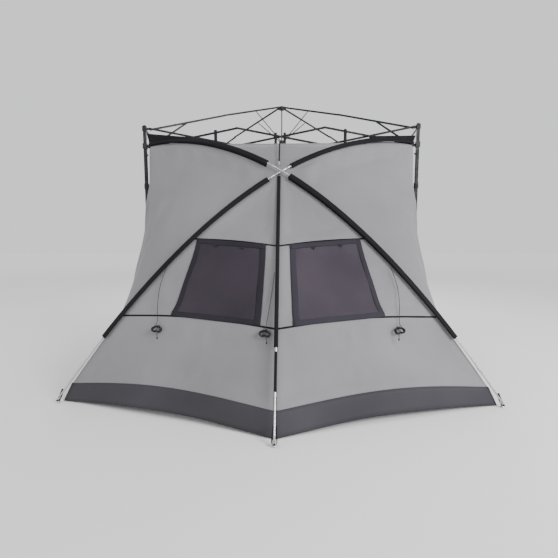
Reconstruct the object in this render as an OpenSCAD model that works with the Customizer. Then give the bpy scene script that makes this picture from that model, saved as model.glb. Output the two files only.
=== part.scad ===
// Pop-up field shelter: a four-legged folding frame with a half-dome front.
// Origin on the ground below the middle; +Y runs from the front nose to the rear wall.

/* [Frame] */
// Distance between the left and right leg axes
frame_width = 2400; // [2250:50:2550]
// Height of the ridge pivot on each leg
eave_height = 2100; // [2050:10:2200]
// Height of the scissor trusses when the frame is open
truss_height = 150; // [140:5:160]
// Rise of the hub pivots above the leg pivots
peak_rise = 444; // [430:2:460]
// Rise of the ridge elbows above the leg pivots
elbow_rise = 249; // [240:1:258]
// Plan distance of the ridge elbows from the centre
elbow_reach = 676; // [660:2:700]
// Outside of the square upper leg
leg_size = 25; // [24:1:27]
// Width of the flat bars
bar_width = 16; // [14:1:18]

/* [Cover] */
// Height of the cover's ceiling
cover_height = 1930; // [1920:1:1934]
// Plan distance of the arch feet from the middle, sideways
arch_foot_x = 1510; // [1450:10:1560]
// How far the arch feet stand in front of the front legs
arch_foot_reach = 930; // [880:10:980]
// How far the nose foot stands in front of the front legs
nose_reach = 1440; // [1400:10:1480]
// Height of the dark skirt
skirt_height = 140; // [120:5:160]
// Thickness of the cloth panels
cloth = 2; // [2:0.5:4]
// Diameter of the arch and nose poles
pole_d = 11; // [9:0.5:12]

/* [Cords] */
// Diameter of the guy lines
cord_d = 4; // [3.5:0.5:5]
// Length of each hank
hank_run = 75; // [70:1:80]
// Width of each hank
hank_width = 46; // [40:2:60]

/* [Hidden] */
$fn = 32;

// Colours
steel = [0.09, 0.09, 0.1];
plastic = [0.05, 0.05, 0.055];
silver = [0.72, 0.73, 0.75];
cloth_grey = [0.6, 0.6, 0.62];
cloth_dark = [0.3, 0.28, 0.32];
mesh_dark = [0.26, 0.24, 0.29];

// Scissor trusses: pivots sit this far from the leg axis along X and along Y
pivot_x = 45;
pivot_y = 30;
bar_run = (frame_width / 2 - pivot_x) / 1.5;
frame_depth = 2 * bar_run + 2 * pivot_y;
bar_length = sqrt(bar_run ^ 2 + truss_height ^ 2);
bar_tilt = atan2(truss_height, bar_run);
bar_thick = 8;
layer_gap = 2;
layer_in = layer_gap / 2;
layer_out = layer_in + bar_thick;
slider_z = eave_height - truss_height;

// The frame stands so that the whole part is centred over the origin
foot_r = 12;
plate = 60;
front_y = (nose_reach + foot_r - frame_depth - plate / 2) / 2;
rear_y = front_y + frame_depth;
mid_y = front_y + frame_depth / 2;

// Ridges lie in the vertical planes through the hub and each leg
corner_azimuth = atan2(1, 1.5);
corner_reach = norm([frame_width / 2, frame_depth / 2]) - 50;
hub_reach = 45;
outer_rise = elbow_rise;
outer_run = corner_reach - elbow_reach;
outer_length = norm([outer_run, outer_rise]);
outer_tilt = atan2(outer_rise, outer_run);
inner_run = elbow_reach - hub_reach;
inner_rise = peak_rise - elbow_rise;
inner_length = norm([inner_run, inner_rise]);
inner_tilt = atan2(inner_rise, inner_run);
strut_on_outer = 354;
strut_top = [corner_reach - strut_on_outer * cos(outer_tilt),
    eave_height + strut_on_outer * sin(outer_tilt)];
strut_length = norm([corner_reach - strut_top.x, strut_top.y - slider_z]);
strut_tilt = atan2(strut_top.y - slider_z, corner_reach - strut_top.x);
post_drop = 350;

// Pins turn in their bores with this much radial room
pin_r = 2.95;
bore_r = 3;
head_r = 6.5;
head_t = 2;
head_gap = 0.3;

// Corners as [sign x, sign y]
FL = [-1, -1];
FR = [1, -1];
BL = [-1, 1];
BR = [1, 1];

function corner_y(c) = c.y < 0 ? front_y : rear_y;
function leg_at(c) = [c.x * frame_width / 2, corner_y(c)];
function out_azimuth(c) = atan2(c.y * sin(corner_azimuth), c.x * cos(corner_azimuth));

// ---- small shapes ------------------------------------------------------------------

// A pin across the layers: from y0 to y1 with a head past y1
module pin(y0, y1) {
    dir = sign(y1 - y0);
    span = abs(y1 - y0) + head_gap;
    rotate([-90 * dir, 0, 0]) translate([0, 0, dir * y0]) {
        cylinder(h = span, r = pin_r);
        translate([0, 0, span]) cylinder(h = head_t, r = head_r);
    }
}

// A flat bar along +X between y0 and y1, with bores at the given places
module flat_bar(len, y0, y1, bores) {
    difference() {
        union() {
            translate([0, y0, -bar_width / 2]) cube([len, y1 - y0, bar_width]);
            for (x = [0, len]) translate([x, y0, 0])
                rotate([-90, 0, 0]) cylinder(h = y1 - y0, r = bar_width / 2);
        }
        for (x = bores) translate([x, y0 - 1, 0])
            rotate([-90, 0, 0]) cylinder(h = y1 - y0 + 2, r = bore_r);
    }
}

// Places its children at a point, turned to an azimuth and tilted up
module aim(at, azimuth, tilt) {
    translate(at) rotate([0, 0, azimuth]) rotate([0, -tilt, 0]) children();
}

// A panel of cloth inside three or four corner points
function face_normal(p) = let (n = cross(p[1] - p[0], p[2] - p[0])) n / norm(n);
function in_centre(p) = let (a = norm(p[1] - p[2]), b = norm(p[2] - p[0]), c = norm(p[0] - p[1]))
    (a * p[0] + b * p[1] + c * p[2]) / (a + b + c);
function in_radius(p) = let (a = norm(p[1] - p[2]), b = norm(p[2] - p[0]), c = norm(p[0] - p[1]))
    norm(cross(p[1] - p[0], p[2] - p[0])) / (a + b + c);
function shrink(p, d) = let (m = in_centre(p), k = 1 - d / in_radius(p)) [for (q = p) m + (q - m) * k];

module panel(points, thick = cloth, gap = 5) {
    outer = shrink(points, gap);
    inner = [for (q = outer) q - face_normal(points) * thick];
    polyhedron(points = concat(outer, inner),
        faces = [[2, 1, 0], [3, 4, 5], [0, 1, 4, 3], [1, 2, 5, 4], [2, 0, 3, 5]]);
}

// A four-cornered panel creased along one diagonal
module creased_panel(points, thick) {
    n = face_normal([points[0], points[1], points[3]]);
    outer = [for (q = points) q + n * thick];
    polyhedron(points = concat(outer, points),
        faces = [[2, 1, 0], [3, 2, 0], [4, 5, 6], [4, 6, 7],
            for (i = [0:3]) let (k = (i + 1) % 4) each [[i, k, k + 4], [i, k + 4, i + 4]]]);
}

// A round tube swept along points; ref is never parallel to the path
module swept(path, r, ref, sides) {
    last = len(path) - 1;
    rings = [for (i = [0:last])
        let (t = path[min(i + 1, last)] - path[max(i - 1, 0)], u0 = cross(t, ref),
            u = u0 / norm(u0), v0 = cross(t, u), v = v0 / norm(v0))
        for (k = [0:sides - 1]) path[i] + r * (cos(360 * k / sides) * u + sin(360 * k / sides) * v)];
    start_cap = [for (k = [0:sides - 1]) k];
    end_cap = [for (k = [sides - 1:-1:0]) last * sides + k];
    walls = [for (i = [0:last - 1]) for (k = [0:sides - 1])
        let (a = i * sides + k, b = i * sides + (k + 1) % sides) [a, a + sides, b + sides, b]];
    polyhedron(points = rings, faces = concat([start_cap], [end_cap], walls));
}

// ---- folding frame -----------------------------------------------------------------

module hub() {
    color(plastic) translate([0, mid_y, eave_height + peak_rise]) {
        translate([0, 0, -16]) cylinder(h = 30, r = 30);
        for (c = [FL, FR, BL, BR]) rotate([0, 0, out_azimuth(c)]) {
            translate([20, -4, -8]) cube([hub_reach - 20, 8, 16]);
            translate([hub_reach, -4, 0]) rotate([-90, 0, 0]) cylinder(h = 8, r = 8);
            translate([hub_reach, 0, 0]) pin(0, 13);
        }
    }
    color(steel) translate([0, mid_y, eave_height + peak_rise - post_drop])
        cylinder(h = post_drop - 16, r = 6);
    color(plastic) translate([0, mid_y, eave_height + peak_rise - post_drop - 14])
        cylinder(h = 26, r = 19);
}

module inner_ridge(c) {
    color(steel)
        aim([0, mid_y, eave_height + peak_rise] + hub_reach * [cos(out_azimuth(c)), sin(out_azimuth(c)), 0],
            out_azimuth(c), -inner_tilt) {
            flat_bar(inner_length, 5, 13, [0]);
            translate([inner_length, 0, 0]) pin(6, -4);
        }
}

module outer_ridge(c) {
    color(steel)
        aim([0, mid_y, eave_height + elbow_rise] + elbow_reach * [cos(out_azimuth(c)), sin(out_azimuth(c)), 0],
            out_azimuth(c), -outer_tilt)
            flat_bar(outer_length, -4, 4, [0, outer_length - strut_on_outer, outer_length]);
}

module ridge_strut(c) {
    at = [0, mid_y, slider_z] + corner_reach * [cos(out_azimuth(c)), sin(out_azimuth(c)), 0];
    color(steel) aim(at, out_azimuth(c), 180 - strut_tilt)
        flat_bar(strut_length, -13, -5, [0, strut_length]);
}

// Tongue on a bracket or slider: reaches out from the block, carrying a pin
module tongue(azimuth, reach, y0, y1, pin_to, half, start = 0) {
    rotate([0, 0, azimuth]) {
        translate([start, min(y0, y1), -half]) cube([reach - start, abs(y1 - y0), 2 * half]);
        translate([reach, min(y0, y1), 0]) rotate([-90, 0, 0]) cylinder(h = abs(y1 - y0), r = half);
        translate([reach, 0, 0]) pin((y0 + y1) / 2, pin_to);
    }
}

module corner_tongues(c, top) {
    // Along X: local +Y of the tongue is turned by the azimuth, so signs follow the corner
    ax = c.x < 0 ? 0 : 180;
    outer_x = top ? c.x < 0 : c.x > 0;
    side_x = (outer_x ? 1 : -1) * c.y * (c.x < 0 ? 1 : -1);
    tongue(ax, pivot_x, -side_x * layer_in, -side_x * layer_out, side_x * layer_out, 8);
    ay = c.y < 0 ? 90 : -90;
    outer_y = top ? c.y < 0 : c.y > 0;
    side_y = (outer_y ? 1 : -1) * c.x * (c.y < 0 ? -1 : 1);
    tongue(ay, pivot_y, -side_y * layer_in, -side_y * layer_out, side_y * layer_out, 7.5);
}

module leg(c) {
    bottom = 1150;
    color(steel) translate([leg_at(c).x, leg_at(c).y, 0]) difference() {
        translate([-leg_size / 2, -leg_size / 2, bottom])
            cube([leg_size, leg_size, eave_height - 20 - bottom]);
        translate([-leg_size / 2 + 1.5, -leg_size / 2 + 1.5, bottom - 1])
            cube([leg_size - 3, leg_size - 3, eave_height - 30 - bottom]);
    }
    color(plastic) translate([leg_at(c).x, leg_at(c).y, eave_height]) {
        translate([-17, -17, -20]) cube([34, 34, 40]);
        translate([0, 0, 20]) cylinder(h = 8, r = 14);
        corner_tongues(c, true);
        rotate([0, 0, 180 + out_azimuth(c)]) tongue(0, 50, -5, -11, 4, 7);
    }
}

module lower_leg(c) {
    size = leg_size - 4.4;
    color(steel) translate([leg_at(c).x, leg_at(c).y, 0]) {
        difference() {
            union() {
                translate([-size / 2, -size / 2, 4]) cube([size, size, 1296]);
                translate([-15, -15, 4]) cube([30, 30, 24]);
            }
            translate([-size / 2 + 1.5, -size / 2 + 1.5, 12]) cube([size - 3, size - 3, 1300]);
        }
        translate([-plate / 2, -plate / 2, 0]) cube([plate, plate, 4]);
    }
}

module slider(c) {
    room = 0.5;
    color(plastic) translate([leg_at(c).x, leg_at(c).y, slider_z]) difference() {
        union() {
            translate([-18, -18, -22]) cube([36, 36, 44]);
            corner_tongues(c, false);
            rotate([0, 0, 180 + out_azimuth(c)]) tongue(0, 50, -4, 4, 13, 7, 15);
        }
        translate([-leg_size / 2 - room, -leg_size / 2 - room, -40])
            cube([leg_size + 2 * room, leg_size + 2 * room, 80]);
    }
}

// Truss bars along X. Pair 1 starts at the left. u runs down to the right, v runs up.
module x_bar(row, pair, kind) {
    out = row;
    x = -frame_width / 2 + pivot_x + (pair - 1) * bar_run;
    y = row < 0 ? front_y : rear_y;
    up = kind == "v";
    lay = up ? -out : out;
    color(steel) aim([x, y, up ? slider_z : eave_height], 0, up ? bar_tilt : -bar_tilt) {
        flat_bar(bar_length, min(lay * layer_in, lay * layer_out), max(lay * layer_in, lay * layer_out),
            x_bores(pair, kind));
        for (p = x_pins(pair, kind)) translate([p, 0, 0]) pin(lay * layer_in * 3, -lay * layer_out);
    }
}
// Pins a bar carries for the bars that hang on it, and the bores it turns on
function x_pins(pair, kind) =
    pair == 1 && kind == "u" ? [bar_length / 2] :
    pair == 1 && kind == "v" ? [bar_length] :
    pair == 3 && kind == "v" ? [bar_length / 2] :
    pair == 3 && kind == "u" ? [0] : [];
function x_bores(pair, kind) =
    pair == 1 && kind == "u" ? [0, bar_length] :
    pair == 1 && kind == "v" ? [0, bar_length / 2] :
    pair == 3 && kind == "v" ? [0, bar_length] :
    pair == 3 && kind == "u" ? [bar_length / 2, bar_length] : [0, bar_length / 2, bar_length];

// Truss bars along Y. Pair 1 starts at the front.
module y_bar(row, pair, kind) {
    y = front_y + pivot_y + (pair - 1) * bar_run;
    up = kind == "v";
    lay = up ? row : -row;
    carries = (pair == 1) == (kind == "u");
    color(steel) aim([row * frame_width / 2, y, up ? slider_z : eave_height], 90,
        up ? bar_tilt : -bar_tilt) {
        flat_bar(bar_length, min(lay * layer_in, lay * layer_out), max(lay * layer_in, lay * layer_out),
            carries ? [0, bar_length] : [0, bar_length / 2, bar_length]);
        if (carries) translate([bar_length / 2, 0, 0]) pin(lay * layer_in * 3, -lay * layer_out);
    }
}

// ---- poles -------------------------------------------------------------------------

// An arch stands in a vertical plane from a front leg to the opposite foot
arch_start = [1150, 30];
foot_top = 30;
arch_plan = norm([arch_foot_x + arch_start.x, arch_foot_reach - arch_start.y]);
arch_dir = [arch_foot_x + arch_start.x, -(arch_foot_reach - arch_start.y), 0] / arch_plan;
arch_lift = 18;
function arch_curve(over) = [[0, 1970], [950, 2040 + over], [1920, 1330 + over], [arch_plan, foot_top]];
function bezier(c, t) = (1 - t) ^ 3 * c[0] + 3 * (1 - t) ^ 2 * t * c[1]
    + 3 * (1 - t) * t ^ 2 * c[2] + t ^ 3 * c[3];
function arch_point(t, over = 0) = let (q = bezier(arch_curve(over), t))
    [-arch_start.x, front_y - arch_start.y, 0] + arch_dir * q.x + [0, 0, q.y];

// One arch passes over the other where they cross
module arch_pole(over) {
    color(silver) swept([for (t = [0:1 / 32:1.001]) arch_point(t, over)], pole_d / 2, [arch_dir.y, -arch_dir.x, 0], 12);
}

// The rim runs under one arch from the eave to the crossing, then under the other to its foot.
// w goes from 0 at the eave to 1 at the skirt.
pole_room = [0, 14, -22];
cross_t = 0.4265;
skirt_t = 0.97;
cross_w = 0.4;
eave = [-1150, front_y - 42, cover_height];
function rim(w) = w <= 0 ? eave : pole_room + (w < cross_w ? arch_point(w / cross_w * cross_t)
    : mirror_x(arch_point(cross_t + (w - cross_w) / (1 - cross_w) * (skirt_t - cross_t))));
crossing = rim(cross_w);

nose_y = front_y - nose_reach;
nose_top = [0, crossing.y - 18, crossing.z - 14];
nose_foot = [0, nose_y, foot_top];

module nose_pole() {
    path = nose_foot - nose_top;
    color(silver) translate(nose_top) rotate([180 - atan2(-path.y, -path.z), 0, 0])
        cylinder(h = norm(path) - 8, r = pole_d / 2);
}

module pole_feet() {
    color(silver) for (p = [[-arch_foot_x, front_y - arch_foot_reach], [arch_foot_x, front_y - arch_foot_reach],
        [0, nose_y]]) translate([p.x, p.y, 0]) {
        cylinder(h = 6, r = foot_r);
        cylinder(h = foot_top - 9, r = 7);
    }
}

// ---- cloth -------------------------------------------------------------------------

function mirror_x(p) = [-p.x, p.y, p.z];

// The side cloth hangs between the rim and a line just in front of the leg
leg_power = 5;
function leg_edge(w) = [-1160, front_y - 40, cover_height - (cover_height - skirt_height) * w ^ leg_power];

// The front wall is ruled between the nose line (u = 0) and the rim (u = 1), v from crossing to skirt
nose_skirt = [0, front_y - nose_reach + 125, skirt_height];
function nose_edge(v) = crossing + (nose_skirt - crossing) * v;
function wall_edge(v) = rim(cross_w + (1 - cross_w) * v);
// Lines of equal v rise a little between the two edges
wall_bow = 0.027;
function wall_point(u, v) = let (w = v * (1 - wall_bow * sin(180 * u)))
    nose_edge(w) + (wall_edge(w) - nose_edge(w)) * u;
function wall_normal(u, v) = let (n = cross(wall_point(u + 0.01, v) - wall_point(u - 0.01, v),
    wall_point(u, v + 0.01) - wall_point(u, v - 0.01))) n / norm(n);
function off_wall(q) = wall_point(q[0], q[1]) + wall_normal(q[0], q[1]) * q[2];

rear_y_wall = rear_y - 42;
door_half = 420;
door_top = 1650;

// A strip of cloth between two edges, as two triangles seen anticlockwise from outside
module strip(a0, b0, a1, b1) {
    for (p = [[a0, b0, b1], [a0, b1, a1]])
        if (norm(p[1] - p[0]) > 60 && norm(p[2] - p[1]) > 60 && norm(p[0] - p[2]) > 60)
            if (in_radius(p) > 12) panel(p);
}

side_steps = [0, 0.2, 0.4, 0.6, 0.75, 0.88, 1];
wall_steps = 5;

module front_half() {
    for (i = [0:len(side_steps) - 2])
        strip(rim(side_steps[i]), leg_edge(side_steps[i]), rim(side_steps[i + 1]), leg_edge(side_steps[i + 1]));
    for (i = [0:wall_steps - 1])
        strip(nose_edge(i / wall_steps), wall_edge(i / wall_steps),
            nose_edge((i + 1) / wall_steps), wall_edge((i + 1) / wall_steps));
}

module front_cloth() {
    front_half();
    mirror([1, 0, 0]) front_half();
    panel([rim(0.2), crossing, mirror_x(rim(0.2))]);
    panel([eave, rim(0.2), mirror_x(rim(0.2))]);
    panel([eave, mirror_x(rim(0.2)), mirror_x(eave)]);
}

module box_cloth() {
    wall_x = -eave.x;
    depth = rear_y_wall - eave.y - 30;
    for (s = [-1, 1]) translate([s * wall_x - cloth / 2, eave.y + 15, skirt_height + 4])
        cube([cloth, depth, cover_height - skirt_height - 12]);
    translate([-wall_x + 8, eave.y + 15, cover_height - cloth])
        cube([2 * wall_x - 16, depth, cloth]);
    for (s = [-1, 1]) translate([s * (wall_x + door_half) / 2 - (wall_x - door_half) / 2 + 4,
        rear_y_wall, skirt_height + 4])
        cube([wall_x - door_half - 8, cloth, cover_height - skirt_height - 12]);
    translate([-door_half, rear_y_wall, door_top])
        cube([2 * door_half, cloth, cover_height - door_top - 8]);
    translate([door_half + 40, rear_y_wall + cloth + 22, 330]) cylinder(h = door_top - 330, r = 18);
}

module cover() {
    color(cloth_grey) {
        front_cloth();
        box_cloth();
    }
}

// The skirt: dark cloth round the foot, and the floor
ground_edge = [[nose_skirt, [0, front_y - nose_reach + 70, 0]],
    [rim(1), [-arch_foot_x + 25, front_y - arch_foot_reach + 28, 0]],
    [leg_edge(1), [-1160, front_y - 40, 0]]];

function drop(p, z) = [p.x, p.y, z];

module skirt_half() {
    for (i = [0:1]) {
        a = ground_edge[i];
        b = ground_edge[i + 1];
        panel([a[0], b[0], drop(b[1], 1)]);
        panel([a[0], drop(b[1], 1), drop(a[1], 1)]);
    }
}

module skirt() {
    floor_z = 4;
    color(cloth_dark) {
        skirt_half();
        mirror([1, 0, 0]) skirt_half();
        for (s = [-1, 1]) translate([s * 1150 - cloth / 2, eave.y + 15, 0])
            cube([cloth, rear_y_wall - eave.y - 30, skirt_height]);
        translate([-1142, rear_y_wall, 0]) cube([2284, cloth, skirt_height]);
        translate([-1140, eave.y + 15, floor_z]) cube([2280, rear_y_wall - eave.y - 30, 1.5]);
    }
}

// A window lies on the front wall, just proud of the cloth: corners as u and v
window_corners = [[0.955, 0.425], [0.684, 0.755], [0.1, 0.724], [0.152, 0.386]];
window_lift = 12;

module window() {
    color(mesh_dark) creased_panel([for (q = window_corners) off_wall([q.x, q.y, window_lift])], 3);
}

// Straps that hold the ceiling edge up to the trusses
module webbing_straps() {
    strap_w = 20;
    strap_t = 1.5;
    color(plastic) for (x = [-570, -40, 40, 570], s = [-1, 1]) {
        y = (s < 0 ? front_y : rear_y) + s * (layer_out + 6);
        translate([x - strap_w / 2, y - strap_t / 2, cover_height + 4]) cube([strap_w, strap_t, 140]);
    }
}

// ---- guy lines ---------------------------------------------------------------------

// Route points down the front wall, as [u, v, lift off the wall]
side_route = [[0.97, 0.565, 20], [0.92, 0.622, 17], [0.86, 0.678, 17], [0.79, 0.737, 17], [0.72, 0.797, 18]];
centre_route = [[0.022, 0.5, 22], [0.031, 0.555, 17], [0.041, 0.612, 17], [0.052, 0.673, 17], [0.063, 0.737, 18]];
function smooth(p, n) = [for (i = [0:len(p) - 2]) for (k = [0:n - 1])
    let (a = p[max(i - 1, 0)], b = p[i], c = p[i + 1], d = p[min(i + 2, len(p) - 1)], t = k / n)
    0.5 * (2 * b + (c - a) * t + (2 * a - 5 * b + 4 * c - d) * t ^ 2 + (3 * b - a - 3 * c + d) * t ^ 3),
    p[len(p) - 1]];

module guy_line(route) {
    color(plastic) swept(smooth([for (q = route) off_wall(q)], 10), cord_d / 2, [1, 0, 0], 10);
}

module hank(route) {
    end = route[len(route) - 1];
    n = wall_normal(end[0], end[1]);
    color(plastic) translate(off_wall(end)) rotate([0, 0, atan2(n.y, n.x)])
        rotate([0, acos(n.z), 0]) translate([hank_width / 2 + 1, 0, -9])
        linear_extrude(height = 20) {
            square([hank_width, hank_run - hank_width], center = true);
            for (s = [-1, 1]) translate([0, s * (hank_run - hank_width) / 2]) circle(d = hank_width);
        }
}

// ---- placing -----------------------------------------------------------------------

hub();
inner_ridge(FL);  // inner_ridge_fl
inner_ridge(FR);  // inner_ridge_fr
inner_ridge(BL);  // inner_ridge_bl
inner_ridge(BR);  // inner_ridge_br
outer_ridge(FL);  // outer_ridge_fl
outer_ridge(FR);  // outer_ridge_fr
outer_ridge(BL);  // outer_ridge_bl
outer_ridge(BR);  // outer_ridge_br
ridge_strut(FL);  // ridge_strut_fl
ridge_strut(FR);  // ridge_strut_fr
ridge_strut(BL);  // ridge_strut_bl
ridge_strut(BR);  // ridge_strut_br
leg(FL);  // leg_fl
leg(FR);  // leg_fr
leg(BL);  // leg_bl
leg(BR);  // leg_br
lower_leg(FL);  // lower_leg_fl
lower_leg(FR);  // lower_leg_fr
lower_leg(BL);  // lower_leg_bl
lower_leg(BR);  // lower_leg_br
slider(FL);  // slider_fl
slider(FR);  // slider_fr
slider(BL);  // slider_bl
slider(BR);  // slider_br
x_bar(-1, 1, "u");  // front_bar_1u
x_bar(-1, 1, "v");  // front_bar_1v
x_bar(-1, 2, "u");  // front_bar_2u
x_bar(-1, 2, "v");  // front_bar_2v
x_bar(-1, 3, "u");  // front_bar_3u
x_bar(-1, 3, "v");  // front_bar_3v
x_bar(1, 1, "u");  // rear_bar_1u
x_bar(1, 1, "v");  // rear_bar_1v
x_bar(1, 2, "u");  // rear_bar_2u
x_bar(1, 2, "v");  // rear_bar_2v
x_bar(1, 3, "u");  // rear_bar_3u
x_bar(1, 3, "v");  // rear_bar_3v
y_bar(-1, 1, "u");  // left_bar_1u
y_bar(-1, 1, "v");  // left_bar_1v
y_bar(-1, 2, "u");  // left_bar_2u
y_bar(-1, 2, "v");  // left_bar_2v
y_bar(1, 1, "u");  // right_bar_1u
y_bar(1, 1, "v");  // right_bar_1v
y_bar(1, 2, "u");  // right_bar_2u
y_bar(1, 2, "v");  // right_bar_2v
cover();
skirt();
window();  // window_left
mirror([1, 0, 0]) window();  // window_right
arch_pole(arch_lift);  // arch_pole_a
mirror([1, 0, 0]) arch_pole(-arch_lift);  // arch_pole_b
nose_pole();
pole_feet();
webbing_straps();
guy_line(side_route);  // guy_line_left
guy_line(centre_route);  // guy_line_centre
mirror([1, 0, 0]) guy_line(side_route);  // guy_line_right
hank(side_route);  // hank_left
hank(centre_route);  // hank_centre
mirror([1, 0, 0]) hank(side_route);  // hank_right
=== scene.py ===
"""A pop-up field shelter: cloth, cords, poles and fittings on the CAD frame.

Metres, +Z up, the nose towards -Y. The left half is drawn, and turned() mirrors it.
"""
import math

import bmesh
import bpy
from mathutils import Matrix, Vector, noise
from mathutils.bvhtree import BVHTree
from mathutils.kdtree import KDTree


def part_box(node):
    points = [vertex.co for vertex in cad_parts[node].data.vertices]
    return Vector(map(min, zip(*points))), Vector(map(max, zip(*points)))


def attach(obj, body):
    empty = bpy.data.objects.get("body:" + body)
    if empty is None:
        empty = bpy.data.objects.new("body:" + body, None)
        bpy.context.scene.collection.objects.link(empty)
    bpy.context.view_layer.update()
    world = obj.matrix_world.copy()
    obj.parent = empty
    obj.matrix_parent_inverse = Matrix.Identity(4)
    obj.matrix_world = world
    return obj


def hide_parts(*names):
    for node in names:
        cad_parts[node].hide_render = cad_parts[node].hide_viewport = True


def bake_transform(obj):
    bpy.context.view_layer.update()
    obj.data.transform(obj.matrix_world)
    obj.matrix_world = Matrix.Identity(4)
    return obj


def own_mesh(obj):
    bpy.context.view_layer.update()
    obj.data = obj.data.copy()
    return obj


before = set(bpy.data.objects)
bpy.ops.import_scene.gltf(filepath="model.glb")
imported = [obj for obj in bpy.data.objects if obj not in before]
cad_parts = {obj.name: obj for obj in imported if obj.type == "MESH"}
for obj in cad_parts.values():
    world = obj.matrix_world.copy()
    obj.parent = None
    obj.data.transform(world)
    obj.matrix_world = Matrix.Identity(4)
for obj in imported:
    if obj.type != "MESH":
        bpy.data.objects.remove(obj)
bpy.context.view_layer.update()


def middle(node):
    """The centre of a CAD node's box."""
    low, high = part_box(node)
    return (low + high) / 2


def turned(p, side):
    """p itself for side 1, its mirror image across the middle plane for side -1."""
    return Vector((side * p[0], p[1], p[2]))


def hump(t):
    """Half a wave: 0 at t 0 and 1, and 1 halfway."""
    return math.sin(math.pi * min(max(t, 0), 1))


def traced(curve, count):
    """The points of curve(t) at count even steps, t from 0 to 1."""
    return [curve(k / count) for k in range(count + 1)]


def mirrored(points):
    return [turned(p, -1) for p in points]


def straight(start, end, count):
    return traced(lambda t: start.lerp(end, t), count)


# ---- sizes ---------------------------------------------------------------------------

FRONT = middle("lower_leg_fl").y
REAR = middle("lower_leg_bl").y
LEG_X = middle("lower_leg_fr").x
CEILING = 1.93
SKIRT_TOP = 0.14
WALL_X = 1.15
SKIRT_X = 1.16
WALL_Y = FRONT - 0.042
BACK_Y = REAR - 0.042
DOOR_HALF = 0.42
DOOR_TOP = 1.65

EAVE = Vector((-WALL_X, WALL_Y, CEILING))
ARCH_START = Vector((-1.15, FRONT - 0.03, 0))
ARCH_FOOT = Vector((1.51, FRONT - 0.93, 0))
ARCH_HEIGHTS = (1.970, 2.040, 1.330, 0.030)
ARCH_RUNS = (0, 0.950, 1.920)
ARCH_LIFT = 0.018
NOSE_FOOT = Vector((0, FRONT - 1.44, 0.03))
POLE_R = 0.0055
POLE_ROOM = Vector((0, 0.014, -0.022))
# Outward from the arches, and from the nose pole
ARCH_OUT = (0, -1, 0.4)
NOSE_OUT = (0, -0.8, 0.6)
# Where along an arch it crosses the other one, and where it passes the skirt's seam
CROSS_T = 0.4265
SKIRT_T = 0.97
WALL_BOW = 0.027
PLEAT_DEPTH = 0.022


# ---- the cover's surfaces ------------------------------------------------------------

def arch(t, lift=0.0):
    """A point on the arch that starts at the left front leg; t runs from 0 to 1 at its foot."""
    across = ARCH_FOOT - ARCH_START
    weights = ((1 - t) ** 3, 3 * t * (1 - t) ** 2, 3 * t * t * (1 - t), t ** 3)
    runs = ARCH_RUNS + (across.length,)
    lifts = (0, lift, lift, 0)
    point = ARCH_START + across.normalized() * sum(w * r for w, r in zip(weights, runs))
    point.z = sum(w * (h + up) for w, h, up in zip(weights, ARCH_HEIGHTS, lifts))
    return point


def rim(v):
    """The left seam under the arch, from the crossing at v 0 to the skirt at v 1."""
    return turned(arch(CROSS_T + v * (SKIRT_T - CROSS_T)), -1) + POLE_ROOM


def upper_rim(v):
    """The left seam under the arch, from the eave at v 0 to the top of the rim at v 1."""
    point = arch(v * CROSS_T) + POLE_ROOM
    point.x += (rim(0).x - arch(CROSS_T).x) * v ** 3
    return EAVE.lerp(point, min(1, v * 8))


CROSSING = Vector((0, rim(0).y, rim(0).z))
NOSE_SKIRT = Vector((0, FRONT - 1.315, SKIRT_TOP))
NOSE_TOP = CROSSING + Vector((0, -0.018, -0.014))


def nose(t):
    """A point on the nose pole, from the crossing to its foot."""
    return NOSE_TOP.lerp(NOSE_FOOT, t)


def wall(u, v):
    """The left front wall, from the nose seam to the arch seam along u, crossing to skirt along v."""
    w = v * (1 - WALL_BOW * hump(u))
    return CROSSING.lerp(NOSE_SKIRT, w).lerp(rim(w), u)


def wall_normal(u, v):
    along = wall(u + 0.01, v) - wall(u - 0.01, v)
    down = wall(u, v + 0.01) - wall(u, v - 0.01)
    return along.cross(down).normalized()


def leg_seam(v):
    """The left side cloth's seam in front of the leg, from the eave at v 0 to the skirt at v 1."""
    w = 0.4 + 0.6 * v
    fall = (w ** 7 - 0.4 ** 7) / (1 - 0.4 ** 7)
    return Vector((-SKIRT_X + 0.01 * (1 - v), WALL_Y, CEILING + (SKIRT_TOP - CEILING) * fall))


def fold_of(u, v, depth):
    """Soft upright folds that die out at the seams."""
    wave = math.sin(21 * u + 5 * noise.noise(Vector((3 * u, 2 * v, 0.5))))
    return depth * (hump(u) * hump(v)) * wave


def flank(u, v):
    """The left side cloth, from the arch seam at u 0 to the leg seam at u 1, with a pleat by the leg."""
    point = rim(v).lerp(leg_seam(v), u)
    ridge = math.exp(-((u - 0.86) / 0.035) ** 2)
    valley = math.exp(-((u - 0.79) / 0.03) ** 2)
    pleat = PLEAT_DEPTH * (ridge - valley) * hump(v) ** 0.6
    return point + Vector((-0.7, -0.7, 0)) * (fold_of(u, v, 0.005 + 0.006 * u) + pleat)


def shoulder(u, v):
    """The left side cloth above the crossing, a fan from the eave."""
    return upper_rim(v).lerp(EAVE, u)


def brow(u, v):
    """The cloth between the eave edge and the two arches, from left to right along u."""
    left = upper_rim(v)
    return left.lerp(turned(left, -1), u)


def side_wall(u, v):
    """The left side wall, from front to rear along u, down along v."""
    front = leg_seam(v)
    x = front.x + 0.012 * hump(u) * hump(v)
    return Vector((x + fold_of(u, v, 0.004), WALL_Y + u * (BACK_Y - WALL_Y), front.z))


def back_wall(u, v):
    """The rear wall, from left to right along u, down along v."""
    top = leg_seam(v)
    x = (2 * u - 1) * abs(top.x)
    return Vector((x, BACK_Y + fold_of(u, v, 0.004), top.z))


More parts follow.
